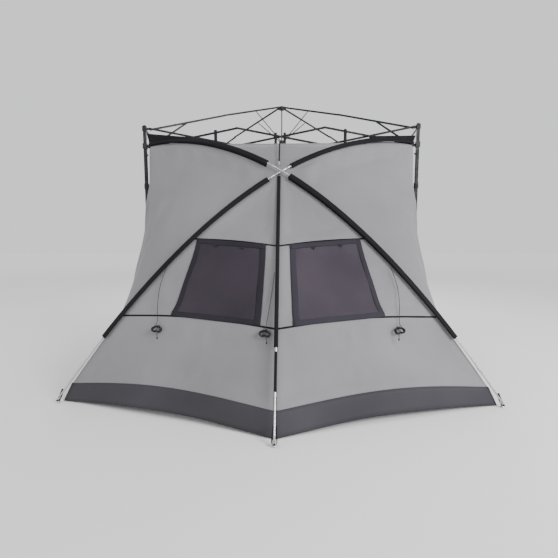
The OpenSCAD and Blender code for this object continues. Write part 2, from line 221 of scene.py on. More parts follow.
def ceiling(u, v):
    """The ceiling, from left to right along u, from front to rear along v."""
    sag = 0.022 * hump(u) * hump(v)
    return Vector(((2 * u - 1) * WALL_X, WALL_Y + v * (BACK_Y - WALL_Y), CEILING - sag))


# ---- mesh helpers --------------------------------------------------------------------

def finished(name, bm, material, smooth=True):
    """A new object with this bmesh's faces and one material."""
    mesh = bpy.data.meshes.new(name)
    for face in bm.faces:
        face.smooth = smooth
    bm.to_mesh(mesh)
    bm.free()
    mesh.materials.append(material)
    piece = bpy.data.objects.new(name, mesh)
    bpy.context.scene.collection.objects.link(piece)
    return piece


def add_patch(bm, surface, us, vs, size, keep=None):
    """Adds a grid of surface(u, v) with UVs in metres; returns its rows of vertices."""
    layer = bm.loops.layers.uv.verify()
    rows = [[bm.verts.new(surface(u, v)) for u in us] for v in vs]
    for j in range(len(vs) - 1):
        for i in range(len(us) - 1):
            if keep and not keep((us[i] + us[i + 1]) / 2, (vs[j] + vs[j + 1]) / 2):
                continue
            corners = ((i, j), (i + 1, j), (i + 1, j + 1), (i, j + 1))
            face = bm.faces.new([rows[b][a] for a, b in corners])
            for loop, (a, b) in zip(face.loops, corners):
                loop[layer].uv = (us[a] * size[0], vs[b] * size[1])
    return rows


def evenly(count):
    return [i / count for i in range(count + 1)]


def frames(points, normal):
    """Each point's tangent, side and outward normal; normal is a vector or a function of the index."""
    result = []
    for i, p in enumerate(points):
        tangent = (points[min(i + 1, len(points) - 1)] - points[max(i - 1, 0)]).normalized()
        out = Vector(normal(i) if callable(normal) else normal)
        out = (out - tangent * out.dot(tangent)).normalized()
        result.append((p, tangent, tangent.cross(out), out))
    return result


def add_sweep(bm, points, section, normal, closed=False, caps=True):
    """Sweeps a section, a list or a function of the index giving (side, out) pairs, along points."""
    layer = bm.loops.layers.uv.verify()
    rings = []
    for i, (p, _, side, out) in enumerate(frames(points, normal)):
        shape = section(i) if callable(section) else section
        rings.append([bm.verts.new(p + side * a + out * b) for a, b in shape])
    count = len(rings[0])
    travelled = [0.0]
    for a, b in zip(points, points[1:]):
        travelled.append(travelled[-1] + (b - a).length)
    pairs = len(rings) if closed else len(rings) - 1
    for j in range(pairs):
        after = (j + 1) % len(rings)
        for i in range(count):
            k = (i + 1) % count
            face = bm.faces.new((rings[j][i], rings[j][k], rings[after][k], rings[after][i]))
            for loop, (a, b) in zip(face.loops, ((i, j), (i + 1, j), (i + 1, j + 1), (i, j + 1))):
                loop[layer].uv = (a / count * 0.1, travelled[min(b, len(points) - 1)])
    if caps and not closed:
        bm.faces.new(list(reversed(rings[0])))
        bm.faces.new(rings[-1])


def oval(width, thick, count=16, power=1.0):
    """A flattened ring of (side, out) pairs."""
    result = []
    for i in range(count):
        angle = 2 * math.pi * i / count
        c, s = math.cos(angle), math.sin(angle)
        across = math.copysign(abs(c) ** power, c) * width / 2
        out = math.copysign(abs(s) ** power, s) * thick / 2
        result.append((across, out))
    return result


def rod(width, count):
    """A round section."""
    return oval(width, width, count)


def tape(width, thick):
    """The section of a flat strip with rounded edges."""
    return oval(width, thick, 8, 0.5)


def outward_from(points, centre):
    return lambda i: points[i] - centre


def patch(name, surface, columns, rows, size, material):
    bm = bmesh.new()
    add_patch(bm, surface, evenly(columns), evenly(rows), size)
    return finished(name, bm, material)


def sweep(name, points, section, normal, material, closed=False):
    bm = bmesh.new()
    add_sweep(bm, points, section, normal, closed)
    return finished(name, bm, material)


def smoothed(points, steps):
    """A smooth curve through the points, with this many steps between each two."""
    result = []
    for i in range(len(points) - 1):
        a, b = points[max(i - 1, 0)], points[i]
        c, d = points[i + 1], points[min(i + 2, len(points) - 1)]
        for k in range(steps):
            t = k / steps
            bend = (2 * a - 5 * b + 4 * c - d) * t ** 2 + (3 * b - a - 3 * c + d) * t ** 3
            result.append((2 * b + (c - a) * t + bend) / 2)
    return result + [points[-1]]


def add_box(bm, centre, size, bevel):
    """A block with bevelled edges."""
    made = bmesh.ops.create_cube(bm, size=1)["verts"]
    for v in made:
        v.co = centre + Vector((v.co.x * size[0], v.co.y * size[1], v.co.z * size[2]))
    edges = {e for v in made for e in v.link_edges}
    bmesh.ops.bevel(bm, geom=list(edges), offset=bevel, segments=2, affect="EDGES")


def applied(piece):
    """Turns the piece's modifiers into its own mesh."""
    graph = bpy.context.evaluated_depsgraph_get()
    mesh = bpy.data.meshes.new_from_object(piece.evaluated_get(graph))
    piece.modifiers.clear()
    piece.data = mesh
    return piece


def settle(piece, slot, *replaced):
    """The piece belongs to the standing shelter: it is attached to the shelter's body, gets its own
    mesh, and the CAD nodes it replaces are hidden.
    """
    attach(piece, "shelter")
    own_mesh(piece)
    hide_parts(*replaced)
    return piece


# ---- materials -----------------------------------------------------------------------

# What a shader node holds as a property of its own; anything else given to one is a socket
PROPERTIES = ("operation", "blend_type", "wave_type", "bands_direction", "data_type", "feature")


class Shader:
    """A principled material under construction."""

    def __init__(self, name, **sockets):
        self.material = bpy.data.materials.new(name)
        self.material.use_nodes = True
        self.tree = self.material.node_tree
        self.surface = self.tree.nodes["Principled BSDF"]
        self.coords = self.tree.nodes.new("ShaderNodeTexCoord")
        self.heights = []
        for socket, value in sockets.items():
            self.surface.inputs[socket.replace("_", " ")].default_value = value

    def node(self, kind, **values):
        node = self.tree.nodes.new("ShaderNode" + kind)
        for name, value in values.items():
            if name in PROPERTIES:
                setattr(node, name, value)
            else:
                node.inputs[name.replace("_", " ")].default_value = value
        return node

    def link(self, source, node, socket):
        self.tree.links.new(source, node.inputs[socket])

    def noise(self, scale, detail=3.0, space="Object"):
        node = self.node("TexNoise", Scale=scale, Detail=detail)
        self.link(self.coords.outputs[space], node, "Vector")
        return node.outputs["Fac"]

    def waves(self, scale, direction, space="UV", distortion=0.0):
        node = self.node("TexWave", Scale=scale, Distortion=distortion, bands_direction=direction)
        self.link(self.coords.outputs[space], node, "Vector")
        return node.outputs["Fac"]

    def weave(self, scale):
        """Threads both ways."""
        return self.product(self.waves(scale, "X"), self.waves(scale, "Y"))

    def spread(self, source, low, high):
        """source stretched so that 0.3 to 0.7 gives low to high."""
        node = self.node("MapRange", From_Min=0.3, From_Max=0.7, To_Min=low, To_Max=high)
        self.link(source, node, "Value")
        return node.outputs["Result"]

    def colours(self, source, dark, light, low=0.3, high=0.7):
        ramp = self.node("ValToRGB")
        ramp.color_ramp.elements[0].position = low
        ramp.color_ramp.elements[0].color = (*dark, 1)
        ramp.color_ramp.elements[1].position = high
        ramp.color_ramp.elements[1].color = (*light, 1)
        self.link(source, ramp, "Fac")
        return ramp.outputs["Color"]

    def blend(self, kind, amount, first, second):
        mix = self.tree.nodes.new("ShaderNodeMix")
        mix.data_type = "RGBA"
        mix.blend_type = kind
        mix.inputs["Factor"].default_value = amount
        self.tree.links.new(first, mix.inputs[6])
        self.tree.links.new(second, mix.inputs[7])
        return mix.outputs[2]

    def product(self, first, second):
        node = self.node("Math", operation="MULTIPLY")
        self.tree.links.new(first, node.inputs[0])
        self.tree.links.new(second, node.inputs[1])
        return node.outputs[0]

    def paint(self, colour):
        self.link(colour, self.surface, "Base Color")

    def shine(self, source, low, high):
        self.link(self.spread(source, low, high), self.surface, "Roughness")

    def bump(self, source, distance, strength=1.0):
        """Stacks one more bump layer under the ones before it."""
        node = self.node("Bump", Distance=distance, Strength=strength)
        self.link(source, node, "Height")
        if self.heights:
            self.link(self.heights[-1], node, "Normal")
        self.heights.append(node.outputs["Normal"])
        self.link(self.heights[-1], self.surface, "Normal")


def grey(level, warm=0.0):
    return (level, level * (1 - warm / 2), level * (1 + warm))


def woven(name, level, tint, roughness, thread=0.0012, contrast=0.10, sheen=0.10, gloss=0.25):
    """Coated polyester: a fine plain weave, faint ripstop lines, soft creases and uneven tone."""
    shader = Shader(name, Sheen_Weight=sheen, Sheen_Roughness=0.45, Specular_IOR_Level=gloss)
    tone = shader.noise(1.4, 4)
    base = shader.colours(tone, grey(level * (1 - contrast), tint), grey(level * (1 + contrast), tint))
    weave = shader.weave(0.1 / thread)
    threads = shader.colours(weave, grey(0.88), grey(1.0), 0.0, 1.0)
    shader.paint(shader.blend("MULTIPLY", 0.6, base, threads))
    shader.shine(shader.noise(6, 4), roughness - 0.06, roughness + 0.08)
    shader.bump(weave, 0.0003, 0.5)
    shader.bump(shader.noise(9, 3), 0.006, 0.35)
    shader.bump(shader.noise(2.2, 2), 0.02, 0.3)
    return shader.material


def window_mesh(name, level):
    """Fine black mesh, with painted shade of the shelter's dark inside between its threads; level scales
    all its colours.
    """
    shader = Shader(name, Sheen_Weight=0.02, Specular_IOR_Level=0.1)
    net = shader.weave(50)
    # level paints light: the right net's copy is painted lighter as the lit side, and the left's darker
    # as the shaded side.
    dark = (0.030 * level, 0.0243 * level, 0.0325 * level)
    light = (0.043 * level, 0.0352 * level, 0.0457 * level)
    tone = shader.colours(shader.noise(1.8, 3), dark, light)
    # Painted shade: the gaps between the threads are darkened as if the dark inside showed through them.
    shaded_holes = shader.colours(net, grey(0.55), grey(1.0), 0.1, 0.6)
    shader.paint(shader.blend("MULTIPLY", 0.7, tone, shaded_holes))
    shader.shine(shader.noise(8, 2), 0.6, 0.75)
    shader.bump(net, 0.0005, 0.6)
    shader.bump(shader.noise(5, 2), 0.008, 0.3)
    return shader.material


def stitched(name, level, tint):
    """Dark binding and webbing with a rib across it and a line of stitches."""
    shader = Shader(name, Sheen_Weight=0.02, Specular_IOR_Level=0.10)
    rib = shader.waves(60, "Y")
    edge = shader.waves(12, "X")
    base = shader.colours(shader.noise(14, 3), grey(level * 0.8, tint), grey(level * 1.3, tint))
    shader.paint(shader.blend("MULTIPLY", 0.5, base, shader.colours(rib, grey(0.6), grey(1), 0, 1)))
    shader.shine(shader.noise(11, 2), 0.6, 0.8)
    shader.bump(rib, 0.0004, 0.5)
    shader.bump(edge, 0.0004, 0.3)
    return shader.material


def braided():
    """Round polyester cord: two sets of strands crossing on the slant."""
    shader = Shader("guy_cord", Specular_IOR_Level=0.15)
    strands = shader.node("TexWave", Scale=90, bands_direction="DIAGONAL")
    shader.link(shader.coords.outputs["UV"], strands, "Vector")
    across = shader.waves(70, "Y")
    base = shader.colours(shader.noise(60, 2), (0.022, 0.021, 0.026), (0.050, 0.048, 0.056))
    shader.paint(shader.blend("MULTIPLY", 0.6, base, shader.colours(across, grey(0.5), grey(1), 0, 1)))
    shader.shine(shader.noise(30, 2), 0.6, 0.8)
    shader.bump(shader.product(strands.outputs["Fac"], across), 0.0006, 0.8)
    return shader.material


def powder_coat():
    """Black powder coat on steel: orange peel, dust, and worn corners."""
    shader = Shader("black_steel", Specular_IOR_Level=0.25)
    worn = shader.tree.nodes.new("ShaderNodeNewGeometry").outputs["Pointiness"]
    scratches = shader.product(shader.noise(42, 6), worn)
    base = shader.colours(shader.noise(5, 4), (0.007, 0.007, 0.009), (0.016, 0.016, 0.019))
    wear = shader.colours(scratches, grey(0.0), grey(0.08), 0.32, 0.44)
    shader.paint(shader.blend("ADD", 0.6, base, wear))
    shader.shine(shader.noise(25, 3), 0.42, 0.56)
    shader.bump(shader.noise(600, 2), 0.0003, 0.25)
    return shader.material


def nylon():
    """Moulded black nylon with a fine grain."""
    shader = Shader("black_plastic", Specular_IOR_Level=0.25)
    shader.paint(shader.colours(shader.noise(12, 3), (0.012, 0.012, 0.014), (0.030, 0.030, 0.033)))
    shader.shine(shader.noise(40, 2), 0.42, 0.58)
    shader.bump(shader.noise(900, 3), 0.0002, 0.4)
    return shader.material


def drawn_metal(name, level, roughness):
    """Bright tube, with draw lines along it and dull patches from handling."""
    shader = Shader(name, Metallic=1.0)
    shader.paint(shader.colours(shader.noise(20, 4), grey(level * 0.85), grey(level)))
    shader.shine(shader.noise(35, 4), roughness - 0.08, roughness + 0.12)
    lines = shader.waves(300, "X", "UV", 2.0)
    shader.bump(lines, 0.0001, 0.3)
    return shader.material


SKY = (0.98, 0.985, 1.0)


def studio_floor():
    """Matt pale paper, barely uneven, that runs into the sky's own colour far from the shelter."""
    shader = Shader("studio_floor", Specular_IOR_Level=0.1, Emission_Strength=1.0)
    away = shader.node("VectorMath", operation="LENGTH")
    shader.link(shader.coords.outputs["Object"], away, "Vector")
    far = shader.node("MapRange", From_Min=4.0, From_Max=18.0)
    shader.link(away.outputs["Value"], far, "Value")
    paper = shader.colours(shader.noise(0.7, 2), grey(0.86), grey(0.88))
    fading = shader.colours(far.outputs["Result"], grey(1.0), grey(0.0), 0.0, 1.0)
    shader.paint(shader.blend("MULTIPLY", 1.0, paper, fading))
    glow = shader.colours(far.outputs["Result"], grey(0.0), SKY, 0.0, 1.0)
    shader.link(glow, shader.surface, "Emission Color")
    shader.shine(shader.noise(3, 2), 0.85, 0.95)
    return shader.material


STEEL = powder_coat()
PLASTIC = nylon()
SILVER = drawn_metal("bare_pole", 0.62, 0.28)
CLOTH = woven("cover_cloth", 0.224, 0.035, 0.6)
SKIRT = woven("skirt_cloth", 0.054, 0.10, 0.6, contrast=0.18, sheen=0.02, gloss=0.12)
SLEEVE = woven("sleeve_cloth", 0.013, 0.12, 0.7, contrast=0.2, sheen=0.01, gloss=0.08)
# Lit and shaded copies of one net: the right window's net is painted lighter than the left's, as painted
# light from the right.
NETS_LIT_AND_SHADED = {"left": window_mesh("window_mesh_left_shaded", 1.27), "right": window_mesh("window_mesh_right_lit", 1.83)}
# Lit and shaded copies of one binding: the right window's border is painted lighter than the left's, as
# painted light from the right.
BORDERS_LIT_AND_SHADED = {
    side: woven("window_border_" + side, level, 0.16, 0.7, contrast=0.2, sheen=0.01, gloss=0.08)
    for side, level in (("left", 0.025), ("right", 0.036))
}
TRIM = stitched("dark_trim", 0.010, 0.10)
WEBBING = stitched("webbing", 0.022, 0.05)
CORD = braided()
FINISHES = {
    "black_steel": STEEL,
    "black_plastic": PLASTIC,
    "bare_pole": SILVER,
    "cover_cloth": CLOTH,
    "skirt_cloth": SKIRT,
    "window_mesh": NETS_LIT_AND_SHADED["left"],
    "guy_cord": CORD,
    "webbing": WEBBING,
}


def finish_cad_nodes():
    """Gives every CAD node the finish of its slot."""
    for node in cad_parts.values():
        for held in node.material_slots:
            name = held.material.name.split(".")[0] if held.material else ""
            held.material = FINISHES.get(name, STEEL)


# ---- cords ---------------------------------------------------------------------------

CORD_R = 0.002
HANK_STRAIGHT = 0.036
HANK_RING = 0.0175
HANK_BEND = 0.55
HANK_PITCH = 0.0042
HANK_TURNS = 5
# Each guy line's way down the wall: u, v and the distance off the cloth
SIDE_ROUTE = (
    (0.97, 0.565, 0.020),
    (0.92, 0.622, 0.017),
    (0.86, 0.678, 0.017),
    (0.79, 0.737, 0.017),
    (0.72, 0.797, 0.018),
)
CENTRE_ROUTE = (
    (0.022, 0.5, 0.022),
    (0.031, 0.555, 0.017),
    (0.041, 0.612, 0.017),
    (0.052, 0.673, 0.017),
    (0.063, 0.737, 0.018),
)


def off_wall(u, v, lift):
    return wall(u, v) + wall_normal(u, v) * lift


def hank_point(turn, ring):
    """A point of a stadium-shaped turn as (across, down), from the middle of the top run."""
    arc = math.pi * ring
    lap = 2 * (arc + HANK_STRAIGHT)
    s = (turn % 1) * lap
    half = HANK_STRAIGHT / 2
    if s < half:
        return s, -ring
    if s < half + arc:
        angle = (s - half) / ring
        return half + ring * math.sin(angle), -ring * math.cos(angle)
    if s < half + arc + HANK_STRAIGHT:
        return half - (s - half - arc), ring
    if s < half + 2 * arc + HANK_STRAIGHT:
        angle = (s - half - arc - HANK_STRAIGHT) / ring
        return -half - ring * math.sin(angle), ring * math.cos(angle)
    return s - lap, -ring


def hank_turns():
    """The hank as (across, down, out): an outer coil towards the wall, then an inner one back out."""
    points = []
    top = (HANK_TURNS / 2) * HANK_PITCH
    steps = 36
    inner = HANK_RING - 1.05 * 2 * CORD_R
    for k in range(HANK_TURNS * steps):
        turn = k / steps
        points.append((*hank_point(turn, HANK_RING), top - turn * HANK_PITCH))
    for k in range(int((HANK_TURNS + 0.5) * steps) + 1):
        turn = k / steps
        blend = min(1, turn * 2)
        ring = HANK_RING + (inner - HANK_RING) * blend * blend * (3 - 2 * blend)
        rise = max(0, turn - 0.5) * HANK_PITCH * (HANK_TURNS + 0.5) / HANK_TURNS
        points.append((*hank_point(turn, ring), -top + rise))
    return points


def sagged(point):
    """A hank's point once both ends hang down from the tie."""
    a, d, out = point
    radius = HANK_STRAIGHT / 2 / HANK_BEND
    angle = max(-HANK_BEND, min(HANK_BEND, a / radius))
    past = a - angle * radius
    across = (radius - d) * math.sin(angle) + past * math.cos(angle)
    down = radius - (radius - d) * math.cos(angle) + past * math.sin(angle)
    return across, down, out


def guy_path(route):
    """A guy line's whole centreline: down the wall, then wound in its hank, then a short tail."""
    drop = smoothed([off_wall(*q) for q in route], 10)
    u, v, lift = route[-1]
    out = wall_normal(u, v)
    across = Vector((out.y, -out.x, 0)).normalized()
    down = out.cross(across) if out.cross(across).z < 0 else across.cross(out)
    centre = off_wall(u, v, lift) + down * (HANK_RING + 0.003) + out * 0.001
    turns = [centre + across * a + down * d + out * o for a, d, o in map(sagged, hank_turns())]
    lead = bent(drop[-5], (drop[-5] - drop[-6]).normalized(), turns[4], across, 0.05)
    end = turns[-1]
    over = end - across * 0.022 + down * 0.020 + out * 0.003
    tail = bent(end, -across, over, down, 0.03)
    hanging = [over + down * 0.03 * k / 6 - out * 0.012 * (k / 6) ** 2 for k in range(1, 7)]
    path = drop[:-5] + lead + turns[5:] + tail[1:] + hanging
    return path, centre, (across, down, out)


def bent(a, toward_a, b, toward_b, reach):
    """A smooth curve from a to b that leaves and arrives in these directions."""
    result = []
    for k in range(9):
        t = k / 8
        s = 1 - t
        near = s ** 3 * a + 3 * s * s * t * (a + toward_a * reach / 3)
        far = 3 * s * t * t * (b - toward_b * reach / 3) + t ** 3 * b
        result.append(near + far)
    return result


def add_knot(bm, at, axis):
    """An overhand knot: a short fat coil round the cord's end."""
    side = axis.orthogonal().normalized()
    other = axis.cross(side)
    points = []
    for k in range(33):
        angle = 4 * math.pi * k / 32
        ring = 0.0034
        around = side * ring * math.cos(angle) + other * ring * math.sin(angle)
        points.append(at + around + axis * (0.0042 * k / 16 - 0.004))
    add_sweep(bm, points, rod(0.0038, 8), outward_from(points, at))


def guy_line(label, route, side):
    """One guy line with its hank, the hank's tie and the knot on its end."""
    path, centre, axes = guy_path(route)
    path = [turned(p, side) for p in path]
    across, down, out = (turned(a, side) for a in axes)
    centre = turned(centre, side)
    cord = sweep("guy_cord_" + label, path, rod(2 * CORD_R, 8), guy_normal(path, out), CORD)
    bm = bmesh.new()
    add_knot(bm, path[-1], (path[-1] - path[-2]).normalized())
    knot = finished("guy_knot_" + label, bm, CORD)
    settle(knot, "guy_cord")
    tie = hank_tie(label, centre, across, down, out)
    settle(cord, "guy_cord", "guy_line_" + label, "hank_" + label)


def guy_normal(path, out):
    """A normal that never lines up with the cord."""
    def normal(i):
        tangent = (path[min(i + 1, len(path) - 1)] - path[max(i - 1, 0)]).normalized()
        return out if abs(out.dot(tangent)) < 0.9 else tangent.orthogonal()
    return normal


def hank_tie(label, centre, across, down, out):
    """A hook-and-loop band round the hank's top run."""
    ring_depth = (HANK_TURNS + 1.6) * HANK_PITCH
    hub = centre - down * (HANK_RING - 0.002) - across * 0.008 + out * 0.001
    points = []
    for a, b in oval(0.0165, ring_depth + 0.006, 24, 0.6):
        points.append(hub + down * a + out * b)
    outward = outward_from(points, hub)
    tie = sweep("hank_tie_" + label, points, tape(0.010, 0.0015), outward, WEBBING, closed=True)
    return settle(tie, "webbing")


# ---- the cover -----------------------------------------------------------------------

ROWS = [1 - (1 - k / 44) ** 1.3 for k in range(45)]
SIM_STEPS = 22
# The cloth simulation's settings
SETTLING = {
    "quality": 6,
    "mass": 0.12,
    "tension_stiffness": 25,
    "compression_stiffness": 8,
    "shear_stiffness": 6,
    "bending_stiffness": 0.4,
    "air_damping": 3,
    "pin_stiffness": 3,
    "shrink_min": -0.006,
}
FURTHEST_SETTLED = 0.016
# How far from a seam the seam still holds the cloth
HELD_REACH = 0.045


def head_v(u):
    """The seam along the windows' heads."""
    return 0.3715 + 0.075 * u - 0.02 * u * u


def foot_v(u):
    """The seam along the windows' feet."""
    return 0.7195 + 0.066 * u - 0.022 * u * u


def door_keep(u, v):
    """False inside the doorway of the rear wall."""
    return not (abs(2 * u - 1) * WALL_X < DOOR_HALF and back_wall(u, v).z < DOOR_TOP)


def back_columns():
    half = DOOR_HALF / WALL_X / 2
    left = [(0.5 - half) * k / 14 for k in range(15)]
    mid = [0.5 - half + 2 * half * k / 16 for k in range(1, 17)]
    return left + mid + [0.5 + half + (0.5 - half) * k / 14 for k in range(1, 15)]


def side_of(surface, side):
    return lambda u, v: turned(surface(u, v), side)


def build_cover(lines):
    """One welded sheet of walls, brow and ceiling, eased over the shoulders."""
    bm = bmesh.new()
    across = back_columns()
    for side in (1, -1):
        add_patch(bm, side_of(wall, side), evenly(40), ROWS, (1.2, 2.0))
        add_patch(bm, side_of(flank, side), evenly(34), ROWS, (1.0, 1.9))
        add_patch(bm, side_of(shoulder, side), evenly(34), evenly(24), (1.0, 0.6))
        add_patch(bm, side_of(side_wall, side), evenly(44), ROWS, (1.6, 1.8))
    add_patch(bm, brow, across, evenly(24), (2.3, 0.5))
    add_patch(bm, back_wall, across, ROWS, (2.3, 1.8), door_keep)
    add_patch(bm, ceiling, across, evenly(44), (2.3, 1.6))
    bmesh.ops.remove_doubles(bm, verts=bm.verts, dist=0.001)
    bmesh.ops.recalc_face_normals(bm, faces=bm.faces)
    ease_shoulders(bm, seam_tree(lines))
    return finished("cover_cloth", bm, CLOTH)


def ease_shoulders(bm, seams):
    """Rounds the cloth over the crease that runs from the eave to the poles' crossing."""
    ahead = [v for v in bm.verts if v.co.z > 1.45 and v.co.y < WALL_Y - 0.01]
    free = [v for v in ahead if seams.find(v.co)[2] > 0.035]
    every_way = {"use_axis_x": True, "use_axis_y": True, "use_axis_z": True}
    for _ in range(30):
        bmesh.ops.smooth_vert(bm, verts=free, factor=0.5, **every_way)


def seam_lines():
    """The sewn lines as lists of points, on both sides where they are mirrored."""
    left = {
        "rim": traced(rim, 60),
        "upper_rim": traced(upper_rim, 30),
        "leg": traced(leg_seam, 40),
        "skirt_front": traced(lambda u: wall(u, 1), 40),
        "skirt_flank": traced(lambda u: flank(u, 1), 30),
        "skirt_side": traced(lambda u: side_wall(u, 1), 40),
        "window_top": traced(lambda u: wall(u, head_v(u)), 40),
        "window_foot": traced(lambda u: wall(u, foot_v(u)), 40),
        "eave_side": traced(lambda u: side_wall(u, 0), 40),
        "back_corner": [side_wall(1, v) for v in ROWS],
    }
    lines = {name + "_left": points for name, points in left.items()}
    lines.update({name + "_right": mirrored(points) for name, points in left.items()})
    lines["nose"] = traced(lambda v: wall(0, v), 50)
    lines["eave_front"] = traced(lambda u: brow(u, 0), 50)
    lines["eave_back"] = traced(lambda u: ceiling(u, 1), 50)
    corner, jamb = Vector((-SKIRT_X, BACK_Y, SKIRT_TOP)), Vector((-DOOR_HALF, BACK_Y, SKIRT_TOP))
    lines["skirt_back_left"] = straight(corner, jamb, 20)
    lines["skirt_back_right"] = mirrored(lines["skirt_back_left"])
    lines["door"] = door_outline()
    return lines


def door_outline():
    """Up one side of the doorway, over its top and down the other."""
    tops = [v for v in ROWS if back_wall(0.5, v).z >= DOOR_TOP]
    height = back_wall(0.5, tops[-1]).z
    climb = height - SKIRT_TOP
    rise = [Vector((-DOOR_HALF, BACK_Y, SKIRT_TOP + climb * k / 30)) for k in range(31)]
    head = [Vector((-DOOR_HALF + 2 * DOOR_HALF * k / 16, BACK_Y, height)) for k in range(1, 16)]
    return rise + head + mirrored(reversed(rise))


def pinned_group(piece, lines):
    """Weights that hold the cloth at its seams."""
    tree = seam_tree(lines)
    group = piece.vertex_groups.new(name="held")
    for v in piece.data.vertices:
        _, _, distance = tree.find(v.co)
        group.add([v.index], max(0.0, min(1.0, 1.35 - distance / HELD_REACH)), "REPLACE")
    return group


def seam_tree(lines):
    points = [p for line in lines.values() for p in line]
    tree = KDTree(len(points))
    for i, p in enumerate(points):
        tree.insert(p, i)
    tree.balance()
    return tree


def relax(piece, lines, furthest):
    """Lets the cloth sag between its seams, then caps how far each point has moved."""
    rest = [v.co.copy() for v in piece.data.vertices]
    group = pinned_group(piece, lines)
    cloth = piece.modifiers.new("settling", "CLOTH")
    for name, value in SETTLING.items():
        setattr(cloth.settings, name, value)
    cloth.settings.vertex_group_mass = group.name
    cloth.collision_settings.use_collision = False
    cloth.point_cache.frame_start = 1
    cloth.point_cache.frame_end = SIM_STEPS
    for step in range(1, SIM_STEPS + 1):
        bpy.context.scene.frame_set(step)
    applied(piece)
    bpy.context.scene.frame_set(1)
    for v, start in zip(piece.data.vertices, rest):
        move = v.co - start
        if move.length > furthest:
            v.co = start + move.normalized() * furthest
    piece.vertex_groups.clear()


def thicken(piece, thickness, levels=0):
    if levels:
        smooth = piece.modifiers.new("smooth", "SUBSURF")
        smooth.levels = levels
        smooth.render_levels = levels
    skin = piece.modifiers.new("skin", "SOLIDIFY")
    skin.thickness = thickness
    skin.offset = 0
    return applied(piece)


# ---- skirt ---------------------------------------------------------------------------

HEM_Z = 0.002
NOSE_GROUND = Vector((0, FRONT - 1.37, HEM_Z))
FOOT_GROUND = Vector((-1.49, FRONT - 0.905, HEM_Z))
LEG_GROUND = Vector((-SKIRT_X, WALL_Y, HEM_Z))


def front_skirt(u, v):
    """The left front skirt, nose to foot along u, seam to ground along v, bowed up a little."""
    lower = NOSE_GROUND.lerp(FOOT_GROUND, u) + Vector((0, 0.012, 0.040)) * hump(u)
    ripple = 0.006 * hump(u) * math.sin(9 * u + 2 * v) * v
    return wall(u, 1).lerp(lower, v) + Vector((0, -ripple, 0))


def flank_skirt(u, v):
    """The left skirt from the foot back to the leg."""
    lower = FOOT_GROUND.lerp(LEG_GROUND, u) + Vector((0.015, 0, 0.02)) * hump(u)
    return flank(u, 1).lerp(lower, v) + Vector((-0.004, 0, 0)) * math.sin(9 * math.pi * u) * v


def side_skirt(u, v):
    """The left skirt beside the shelter."""
    top = side_wall(u, 1)
    ripple = 0.004 * math.sin(8 * math.pi * u) * v
    return Vector((top.x - ripple, top.y, SKIRT_TOP + (HEM_Z - SKIRT_TOP) * v))


def back_skirt(u, v):
    """The rear skirt left of the doorway."""
    x = -SKIRT_X + u * (SKIRT_X - DOOR_HALF)
    ripple = 0.004 * math.sin(5 * math.pi * u) * v
    return Vector((x, BACK_Y + ripple, SKIRT_TOP + (HEM_Z - SKIRT_TOP) * v))


# Each part of the left skirt, its columns and its length
SKIRT_PARTS = (
    (front_skirt, 40, 1.5),
    (flank_skirt, 34, 0.9),
    (side_skirt, 44, 1.6),
    (back_skirt, 14, 0.7),
)


def build_skirt():
    bm = bmesh.new()
    for side in (1, -1):
        for part, columns, length in SKIRT_PARTS:
            add_patch(bm, side_of(part, side), evenly(columns), evenly(5), (length, 0.15))
    bmesh.ops.remove_doubles(bm, verts=bm.verts, dist=0.0004)
    bmesh.ops.recalc_face_normals(bm, faces=bm.faces)
    return thicken(finished("skirt_cloth", bm, SKIRT), 0.0012)


def floor_cloth(u, v):
    """The main room's floor, from left to right along u, from front to rear along v."""
    rise = 0.003 + 0.0015 * noise.noise(Vector((3 * u, 4 * v, 2)))
    return Vector(((2 * u - 1) * (SKIRT_X - 0.006), WALL_Y + v * (BACK_Y - WALL_Y), rise))


def build_groundsheet():
    """The floor that is sewn to the skirt's foot."""
    sheet = thicken(patch("groundsheet", floor_cloth, 40, 30, (2.3, 1.6), SKIRT), 0.001)
    settle(sheet, "skirt_cloth")


# ---- trim ----------------------------------------------------------------------------

def sleeve_normal(point, side):
    """Outward from the pole, turning from forwards at the top to sideways at the foot."""
    reach = min(max((1.65 - point.z) / 1.4, 0), 1)
    away = math.copysign(1, point.x) if abs(point.x) > 0.02 else 0
    return Vector((away * 0.62 * reach, -0.85, 0.55 - 0.3 * reach))


def teardrop(width, thick, tail):
    """A flattened ring drawn out to a seam at tail, as (side, out) pairs."""
    seam = Vector(tail)
    result = []
    for pair in oval(width, thick, 22, 0.8):
        point = Vector(pair)
        pull = max(0, point.normalized().dot(seam.normalized())) ** 4
        result.append(tuple(point.lerp(seam, pull)))
    return result


def sleeve(name, start, end, side, lift, wide_start, wide_end):
    """A cloth tube round an arch pole, drawn down to the cover's seam, with gathered ends."""
    count = 60
    times = [start + (end - start) * k / count for k in range(count + 1)]
    points = [turned(arch(t, lift), side) for t in times]
    seams = [turned(arch(t) + POLE_ROOM, side) for t in times]
    places = frames(points, lambda i: sleeve_normal(points[i], side))

    def section(i):
        share = i / count
        width = wide_start + (wide_end - wide_start) * min(1, share * 2.2)
        pucker = 1 + 0.05 * math.sin(i * 1.9) * (1 if i in (0, count) else 0.4)
        drop = seams[i] - points[i]
        return teardrop(width * pucker, 0.0155, (drop.dot(places[i][2]), drop.dot(places[i][3])))

    return sweep(name, points, section, lambda i: sleeve_normal(points[i], side), SLEEVE)


